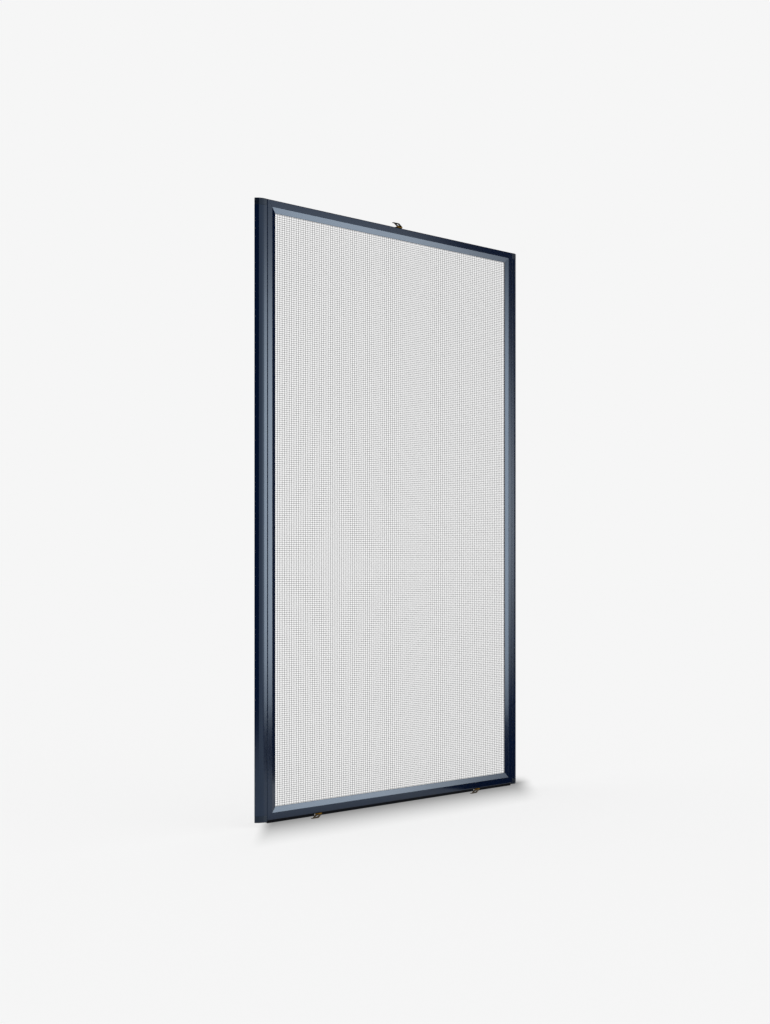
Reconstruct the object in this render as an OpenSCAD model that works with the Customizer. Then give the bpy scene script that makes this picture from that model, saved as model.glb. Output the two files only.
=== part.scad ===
// Framed wire-mesh fireplace screen, held in its opening by three spring tabs.
// X runs across the panel, Z is up and the front faces -Y. The rear plane is Y = 0.
// The origin is the centre of the flat rear face of the bottom rail.

/* [Panel] */
// Overall width, over the side strips
panel_w = 700; // [400:10:1100]
// Overall height of the side strips
panel_h = 1000; // [400:10:1500]
// Gap below the bottom rail that the seal closes
rail_lift = 2.5; // [1.5:0.5:4]

/* [Frame members] */
// Width of each frame member, seen from the front
member_w = 20.5; // [20:0.5:30]
// Depth of each frame member, front to back
member_d = 11; // [11:0.5:14]
// Width of the flat front band
face_w = 11; // [8:0.5:12]
// How far the inner bevel falls towards the back
bevel_drop = 2.2; // [0.8:0.1:3.2]
// Radius of the outer front edge
edge_r = 1.5; // [0.6:0.1:2]

/* [Side strips] */
// How far each side strip stands out beyond the frame
strip_w = 20; // [19:1:30]
// Width of the strip's level band, next to the frame
band_w = 7; // [6:0.2:8]
// Width of the strip's outer chamfer
chamfer_w = 4; // [4:0.1:6]
// Height of the end caps
cap_h = 10.5; // [6:0.5:20]

/* [Mesh] */
// Thickness of the woven mesh
mesh_t = 1.0; // [0.6:0.1:1.2]
// How far the mesh runs in behind each member's lip
mesh_tuck = 8.5; // [4:0.5:8.5]

/* [Spring tabs] */
// Width of a tab
tab_w = 15; // [10:0.5:16]
// Thickness of the tab's sheet
tab_t = 1.2; // [0.8:0.1:1.5]
// Height of a tab above the rail
tab_h = 10; // [9:0.5:14]
// Diameter of the round hole in the leaning web
tab_hole_d = 6; // [4:0.1:6]
// Place of the lower left tab, from the middle
tab_left_x = -208; // [-260:1:-80]
// Place of the lower right tab, from the middle
tab_right_x = 222; // [80:1:260]

/* [Hidden] */
$fn = 48;
eps = 0.01;
body_w = panel_w - 2 * strip_w;
wall = 2.5;
front_wall = 1.5;
chamber_w = 7;
chamber_d = member_d - 2 * front_wall;
recess_u = 11.5;
body_h = panel_h - rail_lift;
rail_z = -(recess_u + 0.5) / 2;
bottom_z = rail_z - rail_lift;
top_z = bottom_z + panel_h;
body_mid_z = (rail_z + top_z) / 2;
recess_d = 7;
lip_round = 0.5;
rear_break = 0.5;
step_w = 0.3;
step_d = 0.4;
strip_back = 1;
strip_wall = 1.5;
band_set_back = 0.5;
slope_set_back = 3.4;
slope_lean = 6;
slope_steps = 8;
edge_set_back = 7.5;
groove_w = 0.5;
groove_d = 2;
cap_clear = 0.1;
tongue_t = 1.6;
tongue_v = 2.3;
tongue_d = 1.7;
slot_clear = 0.1;
hollow_start = 2;
hollow_size = 6;
rib_end = hollow_start + hollow_size + strip_wall;
spigot_l = 12;
spigot_clear = 0.1;
key_clear = 0.1;
key_leg = 48;
key_notches = 4;
key_solid = 20;
notch_w = 2;
notch_d = 0.8;
bead_clear = 0.1;
bead_w = 4.2;
bead_h = 2.8;
bead_round = 0.8;
seal_front = 8.5;
seal_back = 3;
seal_h = 4;
seal_notch = 17;
seal_end_gap = 2;
seal_lip_w = 1.2;
seal_lip_h = 0.8;
screw_d = 2.5;
screw_l = 7;
head_d = 4.6;
head_h = 1.4;
cross_l = 2.6;
cross_w = 0.6;
cross_d = 0.8;
run_clear = 0.05;
tab_bend_r = 1.2;
tab_foot_l = 9;
tab_lip_l = 3.2;
tab_gap = 0.05;
screw_y = -6.6;
navy = [0.20, 0.25, 0.33];
near_black = [0.04, 0.05, 0.08];
brass_tone = [0.62, 0.46, 0.14];

// Points of an arc about [cx, cy], from angle a0 to a1 in n steps
function arc_points(cx, cy, r, a0, a1, n) =
    [for (i = [0:n]) let (a = a0 + (a1 - a0) * i / n) [cx + r * cos(a), cy + r * sin(a)]];

// Unit normal of the path segment from p to q
function path_normal(p, q) = let (d = q - p) [-d[1], d[0]] / norm(d);

// Path moved sideways by s, with mitred corners
function path_offset(path, s) = [
    for (i = [0:len(path) - 1])
        let (
            before = i == 0 ? path_normal(path[0], path[1]) : path_normal(path[i - 1], path[i]),
            after = i == len(path) - 1 ? before : path_normal(path[i], path[i + 1])
        )
        path[i] + s * (before + after) / (1 + before * after)
];

// Outline of sheet metal of thickness t along a centre line
function sheet_outline(path, t) = concat(
    path_offset(path, t / 2),
    [for (i = [len(path) - 1:-1:0]) path_offset(path, -t / 2)[i]]
);

// Section outlines are drawn as [distance in from the outer edge, height above the rear plane].
// This lays one along X, with its outer edge at Z = 0 and its rear on Y = 0.
module lay_along_x(length) {
    translate([-length / 2, 0, 0])
        rotate([90, 0, 90])
            linear_extrude(length)
                rotate(90)
                    children();
}

// Keeps what lies between the two 45 degree mitre planes of a member of this length
module mitre(length, inset = 0) {
    reach = member_w + 5;
    intersection() {
        children();
        rotate([90, 0, 0])
            translate([0, 0, -5])
                linear_extrude(member_d + 10)
                    polygon([
                        [-length / 2 + inset, 0],
                        [length / 2 - inset, 0],
                        [length / 2 - inset - reach, reach],
                        [-length / 2 + inset + reach, reach]
                    ]);
    }
}

module member_outline() {
    polygon(concat(
        [
            [0, rear_break],
            [rear_break, 0],
            [recess_u, 0],
            [recess_u, recess_d],
            [member_w, recess_d]
        ],
        arc_points(member_w - lip_round, member_d - bevel_drop - lip_round, lip_round, 0, 80, 5),
        [
            [face_w + step_w, member_d - step_d],
            [face_w, member_d]
        ],
        arc_points(edge_r, member_d - edge_r, edge_r, 90, 180, 6)
    ));
}

module member_section(slotted) {
    difference() {
        member_outline();
        translate([wall, front_wall])
            square([chamber_w, chamber_d]);
        if (slotted)
            translate([-eps, tongue_v])
                square([tongue_d + slot_clear + eps, tongue_t]);
    }
}

module member(length, slotted) {
    mitre(length)
        lay_along_x(length)
            member_section(slotted);
}

// Places a piece drawn for the bottom edge on one of the four edges of the frame
module on_bottom() {
    translate([0, 0, rail_z])
        children();
}

module on_top() {
    translate([0, 0, top_z])
        rotate([0, 180, 0])
            children();
}

module on_left() {
    translate([-body_w / 2, 0, body_mid_z])
        rotate([0, 90, 0])
            children();
}

module on_right() {
    translate([body_w / 2, 0, body_mid_z])
        rotate([0, -90, 0])
            children();
}

module screw_pilot(x) {
    translate([x, screw_y, -eps])
        cylinder(d = screw_d, h = wall + 2 * eps);
}

module left_stile() {
    color(navy)
        on_left()
            member(body_h, true);
}

module right_stile() {
    color(navy)
        on_right()
            member(body_h, true);
}

module top_rail() {
    color(navy)
        on_top()
            difference() {
                member(body_w, false);
                screw_pilot(0);
            }
}

module bottom_rail() {
    color(navy)
        on_bottom()
            difference() {
                member(body_w, false);
                screw_pilot(tab_left_x);
                screw_pilot(tab_right_x);
            }
}

// L-shaped key that fills the chambers of two members where they meet.
// Drawn for a corner at the origin, with its legs along +X and +Z.
module corner_key() {
    inset = wall + key_clear;
    leg_w = chamber_w - 2 * key_clear;
    leg_d = chamber_d - 2 * key_clear;
    notch_pitch = (key_leg - key_solid) / key_notches;
    color("silver")
        difference() {
            translate([inset, -front_wall - key_clear - leg_d, inset])
                union() {
                    cube([key_leg, leg_d, leg_w]);
                    cube([leg_w, leg_d, key_leg]);
                }
            for (i = [0:key_notches - 1]) {
                at = key_solid + i * notch_pitch;
                translate([at, -member_d, inset - eps])
                    cube([notch_w, member_d, notch_d]);
                translate([inset - eps, -member_d, at])
                    cube([notch_d, member_d, notch_w]);
            }
        }
}

module key_at(side, top) {
    translate([side * body_w / 2, 0, top ? top_z : rail_z])
        mirror([side > 0 ? 1 : 0, 0, 0])
            mirror([0, 0, top ? 1 : 0])
                corner_key();
}

module corner_key_top_left() {
    key_at(-1, true);
}

module corner_key_top_right() {
    key_at(1, true);
}

module corner_key_bottom_left() {
    key_at(-1, false);
}

module corner_key_bottom_right() {
    key_at(1, false);
}

// Bead pressed into the rear recess, which clamps the edge of the mesh against the lip
module retaining_bead(length) {
    u0 = recess_u + bead_clear;
    u1 = u0 + bead_w;
    v1 = recess_d - mesh_t;
    v0 = v1 - bead_h;
    mitre(length, bead_clear)
        lay_along_x(length)
            polygon(concat(
                [[u0, v1], [u0, v0]],
                arc_points(u1 - bead_round, v0 + bead_round, bead_round, -90, 0, 5),
                [[u1, v1]]
            ));
}

module left_retaining_bead() {
    color(navy)
        on_left()
            retaining_bead(body_h);
}

module right_retaining_bead() {
    color(navy)
        on_right()
            retaining_bead(body_h);
}

module top_retaining_bead() {
    color(navy)
        on_top()
            retaining_bead(body_w);
}

module bottom_retaining_bead() {
    color(navy)
        on_bottom()
            retaining_bead(body_w);
}

module wire_mesh() {
    inset = member_w - mesh_tuck;
    color("lightgray")
        translate([-body_w / 2 + inset, -recess_d, rail_z + inset])
            cube([body_w - 2 * inset, mesh_t, body_h - 2 * inset]);
}

// Strip sections are drawn as [distance out from the frame, height above the rear plane]
module lay_strip(side, length, z0) {
    translate([side * body_w / 2, 0, z0])
        mirror([side > 0 ? 0 : 1, 0, 0])
            linear_extrude(length)
                mirror([0, 1, 0])
                    children();
}

// Arc between two points that leaves the first one at this angle to the level
function shoulder(p, q, lean, n) =
    let (
        chord = norm(q - p),
        dip = atan2(p[1] - q[1], q[0] - p[0]),
        turn = dip - lean,
        r = chord / (2 * sin(turn)),
        centre = p - r * [sin(lean), cos(lean)]
    )
    arc_points(centre[0], centre[1], r, 90 - lean - 2 * turn, 90 - lean, n);

// Outline of a strip: a groove beside the frame, a level band, a rounded shoulder and a chamfer
module strip_outline(start) {
    band_end = [band_w, member_d - band_set_back];
    shoulder_end = [strip_w - chamfer_w, member_d - slope_set_back];
    polygon(concat(
        [
            [start, strip_back],
            [strip_w, strip_back],
            [strip_w, member_d - edge_set_back]
        ],
        shoulder(band_end, shoulder_end, slope_lean, slope_steps),
        [
            [groove_w, member_d - band_set_back],
            [start, member_d - groove_d]
        ]
    ));
}

// Square hollow beside the frame, and the spigot that fits it when gap is above zero
module strip_hollow(gap) {
    translate([hollow_start + gap, strip_back + strip_wall + gap])
        square(hollow_size - 2 * gap);
}

module strip_section() {
    difference() {
        union() {
            strip_outline(0);
            translate([-tongue_d, tongue_v])
                square([tongue_d + eps, tongue_t]);
        }
        strip_hollow(0);
        translate([rib_end, strip_back + strip_wall])
            square([
                strip_w - chamfer_w - rib_end,
                member_d - slope_set_back - strip_back - 2 * strip_wall
            ]);
    }
}

module side_strip(side) {
    color(navy)
        lay_strip(side, panel_h - 2 * cap_h, bottom_z + cap_h)
            strip_section();
}

module left_side_strip() {
    side_strip(-1);
}

module right_side_strip() {
    side_strip(1);
}

// Moulded cap that closes one end of a side strip, with a spigot in the strip's hollow
module end_cap(side, top) {
    z0 = top ? top_z - cap_h : bottom_z;
    color(near_black)
        union() {
            lay_strip(side, cap_h, z0)
                strip_outline(cap_clear);
            lay_strip(side, spigot_l + eps, top ? z0 - spigot_l : z0 + cap_h - eps)
                strip_hollow(spigot_clear);
        }
}

module end_cap_top_left() {
    end_cap(-1, true);
}

module end_cap_top_right() {
    end_cap(1, true);
}

module end_cap_bottom_left() {
    end_cap(-1, false);
}

module end_cap_bottom_right() {
    end_cap(1, false);
}

// Rubber seal under the bottom rail, cut away round the two lower tabs
module bottom_seal(x0, x1) {
    color(near_black)
        translate([x0, -seal_front, rail_z - seal_h])
            union() {
                cube([x1 - x0, seal_front - seal_back, seal_h]);
                translate([0, 0, -seal_lip_h])
                    cube([x1 - x0, seal_lip_w, seal_lip_h + eps]);
            }
}

module bottom_seal_left() {
    bottom_seal(-body_w / 2 + seal_end_gap, tab_left_x - seal_notch / 2);
}

module bottom_seal_middle() {
    bottom_seal(tab_left_x + seal_notch / 2, tab_right_x - seal_notch / 2);
}

module bottom_seal_right() {
    bottom_seal(tab_right_x + seal_notch / 2, body_w / 2 - seal_end_gap);
}

// Spring tab, drawn standing on a rail's outer face: a flat foot, a fold at the front,
// a web that leans back at 45 degrees and a short lip
module spring_tab() {
    foot_z = tab_t / 2;
    fold_y = -member_d + tab_t / 2 + tab_bend_r;
    fold_z = foot_z + tab_bend_r;
    fold = arc_points(fold_y, fold_z, tab_bend_r, -90, -225, 9);
    web_start = fold[len(fold) - 1];
    web_rise = tab_h - tab_t / 2 - web_start[1];
    web_end = web_start + [web_rise, web_rise];
    path = concat(
        [[-member_d + tab_foot_l, foot_z]],
        fold,
        [web_end, web_end + [tab_lip_l, 0]]
    );
    hole_at = (web_start + web_end) / 2;
    color(brass_tone)
        translate([0, 0, tab_gap])
            difference() {
                translate([-tab_w / 2, 0, 0])
                    rotate([90, 0, 90])
                        linear_extrude(tab_w)
                            polygon(sheet_outline(path, tab_t));
                translate([0, screw_y, -tab_t])
                    cylinder(d = screw_d + 2 * run_clear, h = 3 * tab_t);
                translate([0, hole_at[0], hole_at[1]])
                    rotate([45, 0, 0])
                        cylinder(d = tab_hole_d, h = 3 * tab_t, center = true);
            }
}

// Turns a tab or screw over so that it hangs from the underside of the bottom rail
module under_bottom(x) {
    translate([x, 0, rail_z])
        mirror([0, 0, 1])
            children();
}

module top_spring_tab() {
    translate([0, 0, top_z])
        spring_tab();
}

module bottom_left_spring_tab() {
    under_bottom(tab_left_x)
        spring_tab();
}

module bottom_right_spring_tab() {
    under_bottom(tab_right_x)
        spring_tab();
}

// Pan-head screw with a cross recess, standing on the rail's outer face
module tab_screw() {
    head_z = 2 * tab_gap + tab_t;
    color(brass_tone)
        translate([0, screw_y, 0])
            difference() {
                union() {
                    translate([0, 0, head_z + head_h - screw_l])
                        cylinder(d = screw_d, h = screw_l - head_h + eps);
                    translate([0, 0, head_z])
                        cylinder(d = head_d, h = head_h);
                }
                for (turn = [0, 90])
                    rotate(turn)
                        translate([-cross_l / 2, -cross_w / 2, head_z + head_h - cross_d])
                            cube([cross_l, cross_w, cross_d + eps]);
            }
}

module top_tab_screw() {
    translate([0, 0, top_z])
        tab_screw();
}

module bottom_tab_screws() {
    for (x = [tab_left_x, tab_right_x])
        under_bottom(x)
            tab_screw();
}

left_stile();
right_stile();
top_rail();
bottom_rail();
corner_key_top_left();
corner_key_top_right();
corner_key_bottom_left();
corner_key_bottom_right();
left_retaining_bead();
right_retaining_bead();
top_retaining_bead();
bottom_retaining_bead();
wire_mesh();
left_side_strip();
right_side_strip();
end_cap_top_left();
end_cap_top_right();
end_cap_bottom_left();
end_cap_bottom_right();
bottom_seal_left();
bottom_seal_middle();
bottom_seal_right();
top_spring_tab();
bottom_left_spring_tab();
bottom_right_spring_tab();
top_tab_screw();
bottom_tab_screws();
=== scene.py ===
import math
import bmesh
import bpy
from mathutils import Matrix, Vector


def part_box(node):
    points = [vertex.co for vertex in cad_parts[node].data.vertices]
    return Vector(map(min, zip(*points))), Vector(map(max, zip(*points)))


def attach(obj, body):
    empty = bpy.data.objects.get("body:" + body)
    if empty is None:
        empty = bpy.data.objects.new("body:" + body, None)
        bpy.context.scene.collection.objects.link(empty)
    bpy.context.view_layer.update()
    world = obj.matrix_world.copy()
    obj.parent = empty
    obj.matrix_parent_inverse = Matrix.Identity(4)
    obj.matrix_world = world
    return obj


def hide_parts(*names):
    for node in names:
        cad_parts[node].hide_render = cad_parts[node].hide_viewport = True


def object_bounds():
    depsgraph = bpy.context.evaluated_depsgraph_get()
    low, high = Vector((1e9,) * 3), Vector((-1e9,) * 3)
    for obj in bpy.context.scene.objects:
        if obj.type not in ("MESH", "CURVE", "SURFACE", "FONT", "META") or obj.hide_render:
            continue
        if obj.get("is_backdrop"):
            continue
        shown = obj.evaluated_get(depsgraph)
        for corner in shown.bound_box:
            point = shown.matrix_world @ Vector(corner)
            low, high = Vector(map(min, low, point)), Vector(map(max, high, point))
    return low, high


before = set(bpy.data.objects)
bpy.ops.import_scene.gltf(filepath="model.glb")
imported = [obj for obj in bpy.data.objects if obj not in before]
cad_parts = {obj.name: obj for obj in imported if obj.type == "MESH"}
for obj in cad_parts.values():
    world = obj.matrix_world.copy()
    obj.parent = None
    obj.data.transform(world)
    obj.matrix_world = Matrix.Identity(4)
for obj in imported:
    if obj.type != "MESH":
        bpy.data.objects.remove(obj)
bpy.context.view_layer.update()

mm = 0.001


def nodeBox(node):  # lowest corner, highest corner, as vectors in metres
    low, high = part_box(node)
    return Vector(low), Vector(high)


# Small helpers

def hexColour(text):  # sRGB hex to the linear values that the shaders take
    channels = [int(text[i:i + 2], 16) / 255 for i in (1, 3, 5)]
    linear = [c / 12.92 if c <= 0.04045 else ((c + 0.055) / 1.055) ** 2.4 for c in channels]
    return (*linear, 1.0)


def addNode(tree, kind, settings=None, links=None):
    node = tree.nodes.new(kind)
    for key, value in (settings or {}).items():
        if key in node.inputs:
            node.inputs[key].default_value = value
        else:
            setattr(node, key, value)
    for key, source in (links or {}).items():
        tree.links.new(source, node.inputs[key])
    return node


def newMaterial(name):
    material = bpy.data.materials.new(name)
    material.use_nodes = True
    tree = material.node_tree
    shader = tree.nodes["Principled BSDF"]
    coords = addNode(tree, "ShaderNodeTexCoord").outputs["Object"]
    return material, tree, shader, coords


def clearSelection():
    if bpy.context.object and bpy.context.object.mode != "OBJECT":
        bpy.ops.object.mode_set(mode="OBJECT")
    bpy.ops.object.select_all(action="DESELECT")


def makeActive(piece):
    clearSelection()
    piece.select_set(True)
    bpy.context.view_layer.objects.active = piece


def applyModifier(piece, kind, **settings):
    makeActive(piece)
    modifier = piece.modifiers.new(kind.title(), kind)
    for key, value in settings.items():
        setattr(modifier, key, value)
    bpy.ops.object.modifier_apply(modifier=modifier.name)


def placeInMesh(piece):  # the object goes to the origin and its place goes into the mesh
    makeActive(piece)
    bpy.ops.object.transform_apply(location=True, rotation=True, scale=True)


def selectVerts(piece, test):  # in edit mode, selects just the vertices that pass
    edit = bmesh.from_edit_mesh(piece.data)
    for vert in edit.verts:
        vert.select = test(vert.co)
    edit.select_flush_mode()
    edit.select_flush(True)
    bmesh.update_edit_mesh(piece.data)


def copyOfNode(node, name):  # a clean, merged copy of a CAD node, for finishing with bevels
    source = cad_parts[node]
    clearSelection()
    piece = source.copy()
    piece.data = source.data.copy()
    piece.name = name
    piece.data.name = name
    piece.modifiers.clear()
    bpy.context.collection.objects.link(piece)
    piece.parent = None
    piece.matrix_world = source.matrix_world
    makeActive(piece)
    bpy.ops.object.mode_set(mode="EDIT")
    bpy.ops.mesh.select_all(action="SELECT")
    bpy.ops.mesh.remove_doubles(threshold=0.00001)
    bpy.ops.mesh.dissolve_limited(angle_limit=math.radians(1))
    bpy.ops.mesh.normals_make_consistent(inside=False)
    bpy.ops.object.mode_set(mode="OBJECT")
    return piece


def finishNode(node, name, body, material, bevel, segments=2, angle=25):
    piece = copyOfNode(node, name)
    if bevel > 0:
        applyModifier(piece, "BEVEL", width=bevel, segments=segments, limit_method="ANGLE",
                      angle_limit=math.radians(angle), harden_normals=False)
    makeActive(piece)
    bpy.ops.object.shade_smooth_by_angle(angle=math.radians(35))
    applyModifier(piece, "WEIGHTED_NORMAL", weight=100, keep_sharp=True)  # flat faces stay flat
    piece.data.materials.clear()
    piece.data.materials.append(material)
    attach(piece, body)
    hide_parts(node)
    return piece


# Materials

coolGloss = "#CCE6FF"    # the coat and the caps reflect a little blue


def powderCoat():
    # Polyester powder coat on aluminium, midnight navy: nearly black in the shade, with a glossy
    # skin whose fine orange peel softens its reflections and faint clouds where it is thicker.
    look = {"base": "#06142F", "thick": "#030D23", "roughness": 0.14, "peelMm": 1.6, "cloudMm": 60}
    material, tree, shader, coords = newMaterial("glossPowderCoatNavy")
    clouds = addNode(tree, "ShaderNodeTexNoise",
                     {"Scale": 1 / (look["cloudMm"] * mm), "Detail": 3.0, "Roughness": 0.55},
                     {"Vector": coords})
    tint = addNode(tree, "ShaderNodeMix", {"data_type": "RGBA"}, {"Factor": clouds.outputs["Fac"]})
    tint.inputs[6].default_value = hexColour(look["base"])
    tint.inputs[7].default_value = hexColour(look["thick"])
    tree.links.new(tint.outputs[2], shader.inputs["Base Color"])
    gloss = addNode(tree, "ShaderNodeMapRange",
                    {"To Min": look["roughness"] - 0.03, "To Max": look["roughness"] + 0.04},
                    {"Value": clouds.outputs["Fac"]})
    tree.links.new(gloss.outputs["Result"], shader.inputs["Roughness"])
    peel = addNode(tree, "ShaderNodeTexNoise",
                   {"Scale": 1 / (look["peelMm"] * mm), "Detail": 2.0}, {"Vector": coords})
    bump = addNode(tree, "ShaderNodeBump", {"Strength": 0.08, "Distance": 0.02 * mm},
                   {"Height": peel.outputs["Fac"]})
    tree.links.new(bump.outputs["Normal"], shader.inputs["Normal"])
    shader.inputs["IOR"].default_value = 1.55
    shader.inputs["Specular Tint"].default_value = hexColour(coolGloss)
    return material


def wireSteel():
    # Galvanised steel wire: dull grey zinc, mottled darker and lighter by a faint spangle.
    look = {"dark": "#3A3C3F", "light": "#5A5C5F", "roughness": 0.42, "spangleMm": 5}
    material, tree, shader, coords = newMaterial("galvanisedSteelWire")
    spangle = addNode(tree, "ShaderNodeTexNoise",
                      {"Scale": 1 / (look["spangleMm"] * mm), "Detail": 2.0}, {"Vector": coords})
    ramp = addNode(tree, "ShaderNodeValToRGB", links={"Fac": spangle.outputs["Fac"]})
    ramp.color_ramp.elements[0].position = 0.35
    ramp.color_ramp.elements[0].color = hexColour(look["dark"])
    ramp.color_ramp.elements[1].position = 0.65
    ramp.color_ramp.elements[1].color = hexColour(look["light"])
    tree.links.new(ramp.outputs["Color"], shader.inputs["Base Color"])
    shader.inputs["Metallic"].default_value = 0.85
    shader.inputs["Roughness"].default_value = look["roughness"]
    return material


def capPlastic():
    # Injection-moulded polypropylene, charcoal blue: a satin skin with a fine grain.
    look = {"base": "#060B18", "worn": "#0A1224", "roughness": 0.3, "grainMm": 0.9}
    material, tree, shader, coords = newMaterial("mouldedPolypropyleneCharcoal")
    grain = addNode(tree, "ShaderNodeTexNoise",
                    {"Scale": 1 / (look["grainMm"] * mm), "Detail": 4.0}, {"Vector": coords})
    ramp = addNode(tree, "ShaderNodeValToRGB", links={"Fac": grain.outputs["Fac"]})
    ramp.color_ramp.elements[0].color = hexColour(look["base"])
    ramp.color_ramp.elements[1].color = hexColour(look["worn"])
    tree.links.new(ramp.outputs["Color"], shader.inputs["Base Color"])
    bump = addNode(tree, "ShaderNodeBump", {"Strength": 0.25, "Distance": 0.03 * mm},
                   {"Height": grain.outputs["Fac"]})
    tree.links.new(bump.outputs["Normal"], shader.inputs["Normal"])
    shader.inputs["Roughness"].default_value = look["roughness"]
    shader.inputs["Specular Tint"].default_value = hexColour(coolGloss)
    return material


def sealRubber():
    # Extruded EPDM rubber, blue-black: dead matt, with drawn lines along its length.
    look = {"base": "#06080D", "bloom": "#0B0E15", "roughness": 0.9, "lineMm": 0.8}
    material, tree, shader, coords = newMaterial("extrudedRubberDark")
    stretch = addNode(tree, "ShaderNodeMapping", {"Scale": (0.02, 1.0, 1.0)}, {"Vector": coords})
    lines = addNode(tree, "ShaderNodeTexNoise",
                    {"Scale": 1 / (look["lineMm"] * mm), "Detail": 2.0},
                    {"Vector": stretch.outputs["Vector"]})
    ramp = addNode(tree, "ShaderNodeValToRGB", links={"Fac": lines.outputs["Fac"]})
    ramp.color_ramp.elements[0].color = hexColour(look["base"])
    ramp.color_ramp.elements[1].color = hexColour(look["bloom"])
    tree.links.new(ramp.outputs["Color"], shader.inputs["Base Color"])
    bump = addNode(tree, "ShaderNodeBump", {"Strength": 0.2, "Distance": 0.05 * mm},
                   {"Height": lines.outputs["Fac"]})
    tree.links.new(bump.outputs["Normal"], shader.inputs["Normal"])
    shader.inputs["Roughness"].default_value = look["roughness"]
    shader.inputs["Specular IOR Level"].default_value = 0.1
    return material


def tarnishedBrass(name, base, tarnish, grainMm):
    # Rolled or turned brass, well tarnished: brown, nearly black in patches, with fine lines
    # from the rolls or the lathe that stretch its highlights.
    look = {"patchMm": 4, "roughness": 0.28}
    material, tree, shader, coords = newMaterial(name)
    cloud = addNode(tree, "ShaderNodeTexNoise",
                    {"Scale": 1 / (look["patchMm"] * mm), "Detail": 4.0, "Roughness": 0.6},
                    {"Vector": coords})
    ramp = addNode(tree, "ShaderNodeValToRGB", links={"Fac": cloud.outputs["Fac"]})
    ramp.color_ramp.elements[0].position = 0.35
    ramp.color_ramp.elements[0].color = hexColour(tarnish)
    ramp.color_ramp.elements[1].position = 0.6
    ramp.color_ramp.elements[1].color = hexColour(base)
    tree.links.new(ramp.outputs["Color"], shader.inputs["Base Color"])
    stretch = addNode(tree, "ShaderNodeMapping", {"Scale": (0.05, 1.0, 1.0)}, {"Vector": coords})
    lines = addNode(tree, "ShaderNodeTexNoise",
                    {"Scale": 1 / (grainMm * mm), "Detail": 2.0},
                    {"Vector": stretch.outputs["Vector"]})
    bump = addNode(tree, "ShaderNodeBump", {"Strength": 0.2, "Distance": 0.02 * mm},
                   {"Height": lines.outputs["Fac"]})
    tree.links.new(bump.outputs["Normal"], shader.inputs["Normal"])
    shader.inputs["Metallic"].default_value = 1.0
    shader.inputs["Roughness"].default_value = look["roughness"]
    return material


def castZinc():
    # Die-cast zinc alloy: light grey metal with the dull skin of the die.
    look = {"base": "#A9ABAE", "dull": "#8D9093", "roughness": 0.45, "grainMm": 1.2}
    material, tree, shader, coords = newMaterial("dieCastZinc")
    grain = addNode(tree, "ShaderNodeTexNoise",
                    {"Scale": 1 / (look["grainMm"] * mm), "Detail": 4.0}, {"Vector": coords})
    ramp = addNode(tree, "ShaderNodeValToRGB", links={"Fac": grain.outputs["Fac"]})
    ramp.color_ramp.elements[0].color = hexColour(look["dull"])
    ramp.color_ramp.elements[1].color = hexColour(look["base"])
    tree.links.new(ramp.outputs["Color"], shader.inputs["Base Color"])
    shader.inputs["Metallic"].default_value = 1.0
    shader.inputs["Roughness"].default_value = look["roughness"]
    return material


coatMaterial = powderCoat()
wireMaterial = wireSteel()
capMaterial = capPlastic()
rubberMaterial = sealRubber()
tabMaterial = tarnishedBrass("rolledBrassSheet", "#5E440E", "#150F03", 0.5)
screwMaterial = tarnishedBrass("turnedBrass", "#8A6A22", "#2A1C08", 0.3)
keyMaterial = castZinc()
print("materials made")


# Frame, strips, caps, seal, beads and keys

for node in ["left_stile", "right_stile", "top_rail", "bottom_rail"]:
    finishNode(node, node + "_coated", "frame", coatMaterial, 0.25 * mm)

for node in ["left_side_strip", "right_side_strip"]:  # their shoulders meet at slight angles
    finishNode(node, node + "_coated", "frame", coatMaterial, 0.2 * mm, angle=10)

for side in ["left", "right", "top", "bottom"]:
    node = side + "_retaining_bead"
    finishNode(node, node + "_coated", "frame", coatMaterial, 0.25 * mm)

for corner in ["top_left", "top_right", "bottom_left", "bottom_right"]:
    finishNode("end_cap_" + corner, "end_cap_" + corner + "_moulded", "frame",
               capMaterial, 0.3 * mm, 3, angle=10)
    finishNode("corner_key_" + corner, "corner_key_" + corner + "_cast", "frame",
               keyMaterial, 0.2 * mm, 1)

for part in ["left", "middle", "right"]:
    node = "bottom_seal_" + part
    finishNode(node, node + "_extruded", "frame", rubberMaterial, 0.3 * mm)
print("frame, strips, caps and seal finished")


# Woven wire mesh

weave = {
    "wireDiameter": 0.56 * mm,
    "levelPitch": 3.35 * mm,     # distance between level wires
    "uprightPitch": 5.55 * mm,   # distance between upright wires
    "rise": 0.45,                # how far it steps aside, as a share of its diameter
    "sides": 6,
    "piecesEachWay": 3,
}


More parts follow.
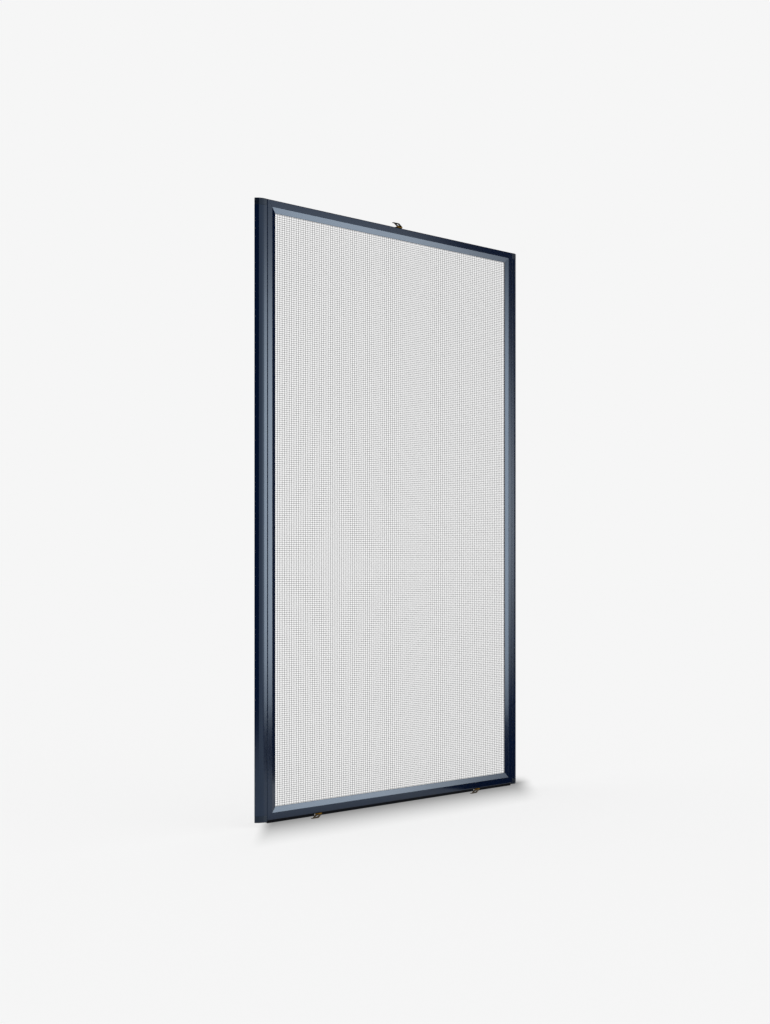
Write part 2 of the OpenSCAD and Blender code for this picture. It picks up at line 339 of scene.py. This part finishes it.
def wovenWires(name, axis, alongPitch, alongCount, acrossPitch, acrossCount, firstAcross,
               centre, firstLeft):
    # Wires that run along one axis, each stepping over and under at every crossing.
    amplitude = weave["wireDiameter"] * weave["rise"]
    along = Vector((0, 0, 1)) if axis == "Z" else Vector((1, 0, 0))
    across = Vector((1, 0, 0)) if axis == "Z" else Vector((0, 0, 1))
    start = centre - along * alongPitch * (alongCount - 1) / 2
    pair = []
    for member in (0, 1):
        place = start + along * alongPitch / 2 + across * (firstAcross + member * acrossPitch)
        clearSelection()
        turn = (0, 0, 0) if axis == "Z" else (0, math.pi / 2, 0)
        bpy.ops.mesh.primitive_cylinder_add(vertices=weave["sides"], radius=weave["wireDiameter"] / 2,
                                            depth=alongPitch, end_fill_type="NOTHING",
                                            location=place, rotation=turn)
        wire = bpy.context.object
        placeInMesh(wire)
        applyModifier(wire, "ARRAY", count=alongCount - 1, use_relative_offset=False,
                      use_constant_offset=True, constant_offset_displace=along * alongPitch,
                      use_merge_vertices=True, merge_threshold=0.01 * mm)
        makeActive(wire)
        bpy.ops.object.mode_set(mode="EDIT")
        for parity in (0, 1):
            sign = 1 if (parity + member + firstLeft) % 2 == 0 else -1
            selectVerts(wire, lambda co: round((co - start).dot(along) / alongPitch) % 2 == parity)
            bpy.ops.transform.translate(value=(0, sign * amplitude, 0))
        bpy.ops.mesh.select_all(action="DESELECT")
        bpy.ops.mesh.select_non_manifold()
        bpy.ops.mesh.edge_face_add()
        bpy.ops.object.mode_set(mode="OBJECT")
        pair.append(wire)
    clearSelection()
    for wire in pair:
        wire.select_set(True)
    bpy.context.view_layer.objects.active = pair[0]
    bpy.ops.object.join()
    wires = bpy.context.object
    wires.name = name
    wires.data.name = name
    applyModifier(wires, "ARRAY", count=acrossCount // 2, use_relative_offset=False,
                  use_constant_offset=True, constant_offset_displace=across * acrossPitch * 2)
    makeActive(wires)
    bpy.ops.object.mode_set(mode="EDIT")
    bpy.ops.mesh.select_all(action="SELECT")
    bpy.ops.mesh.normals_make_consistent(inside=False)
    bpy.ops.object.mode_set(mode="OBJECT")
    bpy.ops.object.shade_smooth_by_angle(angle=math.radians(70))
    wires.data.materials.clear()
    wires.data.materials.append(wireMaterial)
    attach(wires, "frame")
    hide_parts("wire_mesh")
    return wires


meshLow, meshHigh = nodeBox("wire_mesh")
meshCentre = (meshLow + meshHigh) / 2
meshSize = meshHigh - meshLow
groupCount = weave["piecesEachWay"]
countStep = 2 * groupCount    # wires come in pairs, and each piece holds the same number


def wireCount(size, pitch):  # the most wires that fit, in whole steps
    return (int((size - weave["wireDiameter"]) / pitch) + 1) // countStep * countStep


uprightCount = wireCount(meshSize.x, weave["uprightPitch"])
levelCount = wireCount(meshSize.z, weave["levelPitch"])
for group in range(groupCount):
    share = uprightCount // groupCount
    first = (group * share - (uprightCount - 1) / 2) * weave["uprightPitch"]
    wovenWires("upright_wires_%d" % (group + 1), "Z", weave["levelPitch"], levelCount,
               weave["uprightPitch"], share, first, meshCentre, 0)
    share = levelCount // groupCount
    first = (group * share - (levelCount - 1) / 2) * weave["levelPitch"]
    wovenWires("level_wires_%d" % (group + 1), "X", weave["uprightPitch"], uprightCount,
               weave["levelPitch"], share, first, meshCentre, 1)
print("mesh woven:", uprightCount, "upright and", levelCount, "level wires")


# Spring tabs and screws

for node, body in [("top_spring_tab", "top_tab"), ("bottom_left_spring_tab", "frame"),
                   ("bottom_right_spring_tab", "frame")]:
    finishNode(node, node + "_bent", body, tabMaterial, 0.15 * mm, 2, 40)
for node in ["top_tab_screw", "bottom_tab_screws"]:
    finishNode(node, node + "_turned", "frame", screwMaterial, 0.12 * mm, 2, 40)
print("tabs and screws finished")


# Stage, lights and camera

stage = {
    "backdrop": "#F6F6F6",
    "floorHalfWidth": 30.0,
    "floorAlbedo": 0.25,       # the rest of the floor's brightness is its own light
    "floorGlow": 0.69,
    "shadowDepth": 0.72,       # how much light the painted contact shadow takes at its darkest
    "shadowFront": 0.19,       # metres from its darkest line to its front edge
    "shadowBack": 0.08,
    "shadowLine": 0.03,        # where it is darkest, behind the panel's rear plane
    "shadowFall": 1.45,
    "shadowSkew": 1.17,        # the painted shadow's ends lean at this slant across the floor
    "shadowLeft": (-0.345, -0.305),
    "shadowRight": (0.35, 0.42),
}


def calculate(tree, operation, first, second=0.0):  # on numbers or on nodes' outputs
    node = addNode(tree, "ShaderNodeMath", {"operation": operation})
    for socket, value in zip(node.inputs, (first, second)):
        if isinstance(value, (int, float)):
            socket.default_value = value
        else:
            tree.links.new(value, socket)
    return node.outputs["Value"]


def smoothStep(tree, value, start, end):  # 0 at start, 1 at end
    node = addNode(tree, "ShaderNodeMapRange",
                   {"interpolation_type": "SMOOTHSTEP", "From Min": start, "From Max": end},
                   {"Value": value})
    return node.outputs["Result"]


def makeFloor(level):
    clearSelection()
    bpy.ops.mesh.primitive_plane_add(size=2 * stage["floorHalfWidth"], location=(0, 0, level))
    floor = bpy.context.object
    floor.name = "studioFloor"
    placeInMesh(floor)
    material, tree, shader, coords = newMaterial("paleFloorPaintedShadow")
    # A contact shadow painted into the floor's colour and its own light, worked out from the place on
    # the floor: darkest along a line behind the panel, fading to the front, back and ends. It is not
    # cast by the panel.
    place = addNode(tree, "ShaderNodeSeparateXYZ", links={"Vector": coords})
    behind = calculate(tree, "SUBTRACT", place.outputs["Y"], stage["shadowLine"])
    toBack = calculate(tree, "DIVIDE", behind, stage["shadowBack"])
    toFront = calculate(tree, "DIVIDE", behind, -stage["shadowFront"])
    away = calculate(tree, "MINIMUM", calculate(tree, "MAXIMUM", toBack, toFront), 1.0)
    shade = calculate(tree, "POWER", calculate(tree, "SUBTRACT", 1.0, away), stage["shadowFall"])
    skewed = calculate(tree, "MULTIPLY", place.outputs["Y"], -stage["shadowSkew"])
    along = calculate(tree, "ADD", place.outputs["X"], skewed)
    left = smoothStep(tree, along, *stage["shadowLeft"])
    right = smoothStep(tree, along, *reversed(stage["shadowRight"]))
    ends = calculate(tree, "MULTIPLY", left, right)
    taken = calculate(tree, "MULTIPLY", calculate(tree, "MULTIPLY", shade, ends), stage["shadowDepth"])
    light = calculate(tree, "SUBTRACT", 1.0, taken)
    albedo = calculate(tree, "MULTIPLY", light, stage["floorAlbedo"])
    tree.links.new(albedo, shader.inputs["Base Color"])
    ownLight = calculate(tree, "MULTIPLY", light, stage["floorGlow"])
    tree.links.new(ownLight, shader.inputs["Emission Strength"])
    shader.inputs["Emission Color"].default_value = hexColour("#FFFFFF")
    shader.inputs["Roughness"].default_value = 1.0
    shader.inputs["Specular IOR Level"].default_value = 0.0
    floor.data.materials.append(material)
    floor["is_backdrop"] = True


def makeWorld():
    world = bpy.data.worlds.new("studioSurround")
    world.use_nodes = True
    world.node_tree.nodes["Background"].inputs["Color"].default_value = hexColour(stage["backdrop"])
    bpy.context.scene.world = world


cards = {                      # one glows, the others are black
    "frontGlow": {"from": (-0.5, -1.4), "to": (2.7, -1.4), "bottom": -0.01, "top": 1.7},
    "farFlag": {"from": (1.89, -1.45), "to": (2.75, -1.45), "bottom": -0.01, "top": 2.4},
    "sideFlag": {"from": (2.75, -1.45), "to": (4.2, -0.4), "bottom": -0.01, "top": 2.4},
    "nearFlag": {"from": (-1.3, -1.75), "to": (-1.3, 1.6), "bottom": -0.01, "top": 2.0},
}
levelCards = {
    "lowFlag": {"x": (0.24, 4.2), "y": (-3.0, -0.02), "lift": 0.001},   # metres above the floor
    "highFlag": {"x": (0.2, 4.2), "y": (-1.2, 2.6), "lift": 2.6},
}
glow = {
    "strength": 5.3,
    "centre": 0.56,
    "halfHeight": 0.62,
    "shoulder": 4.0,           # how flat the glow is in its middle
    "skirtIn": (-0.4, 0.75),   # across, from its left edge: a faint skirt, then the glow itself
    "skirt": 0.28,
    "fadeIn": (0.75, 1.05),
    "roundFrom": 1.15,         # from here it ends as half an ellipse
    "roundLength": 1.1,
}


def hideFromAllButGloss(piece):
    piece.visible_camera = False
    piece.visible_diffuse = False
    piece.visible_transmission = False
    piece.visible_shadow = False
    piece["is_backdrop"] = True


def standCard(name):  # an upright card that only reflections see
    card = cards[name]
    start, end = Vector((*card["from"], 0)), Vector((*card["to"], 0))
    clearSelection()
    bpy.ops.mesh.primitive_plane_add(size=1)
    piece = bpy.context.object
    piece.name = name
    height = card["top"] - card["bottom"]
    piece.dimensions = ((end - start).length, height, 0)
    piece.rotation_euler = (math.pi / 2, 0, math.atan2(end.y - start.y, end.x - start.x))
    piece.location = ((start.x + end.x) / 2, (start.y + end.y) / 2, card["bottom"] + height / 2)
    placeInMesh(piece)
    hideFromAllButGloss(piece)
    return piece


def layCard(name):  # the same, lying level
    card = levelCards[name]
    clearSelection()
    bpy.ops.mesh.primitive_plane_add(size=1)
    piece = bpy.context.object
    piece.name = name
    piece.dimensions = (card["x"][1] - card["x"][0], card["y"][1] - card["y"][0], 0)
    piece.location = (sum(card["x"]) / 2, sum(card["y"]) / 2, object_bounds()[0][2] + card["lift"])
    placeInMesh(piece)
    hideFromAllButGloss(piece)
    return piece


def blackVelvet():
    material, tree, shader, coords = newMaterial("blackVelvet")
    shader.inputs["Base Color"].default_value = hexColour("#07070A")
    shader.inputs["Roughness"].default_value = 1.0
    shader.inputs["Specular IOR Level"].default_value = 0.0
    return material


def glowingSilk():  # a lit diffuser, brightest in the middle, that adds its light to what is behind
    material, tree, shader, coords = newMaterial("litDiffuserSilk")
    tree.nodes.remove(shader)
    place = addNode(tree, "ShaderNodeSeparateXYZ", links={"Vector": coords})
    height = calculate(tree, "SUBTRACT", place.outputs["Z"], glow["centre"])
    share = calculate(tree, "DIVIDE", calculate(tree, "ABSOLUTE", height), glow["halfHeight"])
    beyond = calculate(tree, "SUBTRACT", place.outputs["X"], glow["roundFrom"])
    reach = calculate(tree, "DIVIDE", calculate(tree, "MAXIMUM", beyond, 0.0), glow["roundLength"])
    upSquared = calculate(tree, "POWER", share, 2.0)
    square = calculate(tree, "ADD", upSquared, calculate(tree, "POWER", reach, 2.0))
    fall = calculate(tree, "POWER", square, glow["shoulder"] / 2)
    dome = calculate(tree, "EXPONENT", calculate(tree, "MULTIPLY", fall, -1.0))
    skirtIn = smoothStep(tree, place.outputs["X"], *glow["skirtIn"])
    fadeIn = smoothStep(tree, place.outputs["X"], *glow["fadeIn"])
    skirt = calculate(tree, "MULTIPLY", skirtIn, glow["skirt"])
    body = calculate(tree, "MULTIPLY", fadeIn, 1 - glow["skirt"])
    across = calculate(tree, "ADD", skirt, body)
    power = calculate(tree, "MULTIPLY", calculate(tree, "MULTIPLY", dome, across), glow["strength"])
    shine = addNode(tree, "ShaderNodeEmission", {"Color": (1, 1, 1, 1)}, {"Strength": power})
    clear = addNode(tree, "ShaderNodeBsdfTransparent")
    both = addNode(tree, "ShaderNodeAddShader")
    tree.links.new(shine.outputs["Emission"], both.inputs[0])
    tree.links.new(clear.outputs["BSDF"], both.inputs[1])
    tree.links.new(both.outputs["Shader"], tree.nodes["Material Output"].inputs["Surface"])
    return material


makeFloor(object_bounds()[0][2])
makeWorld()
velvet = blackVelvet()
standCard("frontGlow").data.materials.append(glowingSilk())
for name in ["farFlag", "sideFlag", "nearFlag"]:
    standCard(name).data.materials.append(velvet)
for name in levelCards:
    layCard(name).data.materials.append(velvet)

camera = {
    "left": 2.4048,            # metres from the panel's middle
    "front": 2.0268,           # metres in front of its rear plane
    "below": 0.0870,           # metres below the middle of the side strips
    "turn": 49.56,             # degrees from looking straight along +Y
    "lens": 63.28,             # mm, on a sensor 36 mm high
    "sensor": 36.0,
    "rise": 0.05147,           # lens shift, as a share of the picture's height
}
stripMiddle = (nodeBox("end_cap_bottom_left")[0].z + nodeBox("end_cap_top_left")[1].z) / 2
cameraData = bpy.data.cameras.new("studioCamera")
cameraData.sensor_fit = "VERTICAL"
cameraData.sensor_height = camera["sensor"]
cameraData.lens = camera["lens"]
cameraData.shift_y = camera["rise"]
cameraData.clip_start = 0.05
cameraData.clip_end = 200
cameraObject = bpy.data.objects.new("studioCamera", cameraData)
bpy.context.collection.objects.link(cameraObject)
cameraObject.location = (-camera["left"], -camera["front"], stripMiddle - camera["below"])
cameraObject.rotation_euler = (math.pi / 2, 0, -math.radians(camera["turn"]))
bpy.context.scene.camera = cameraObject
bpy.context.scene.view_settings.view_transform = "Standard"
print("stage, lights and camera set")
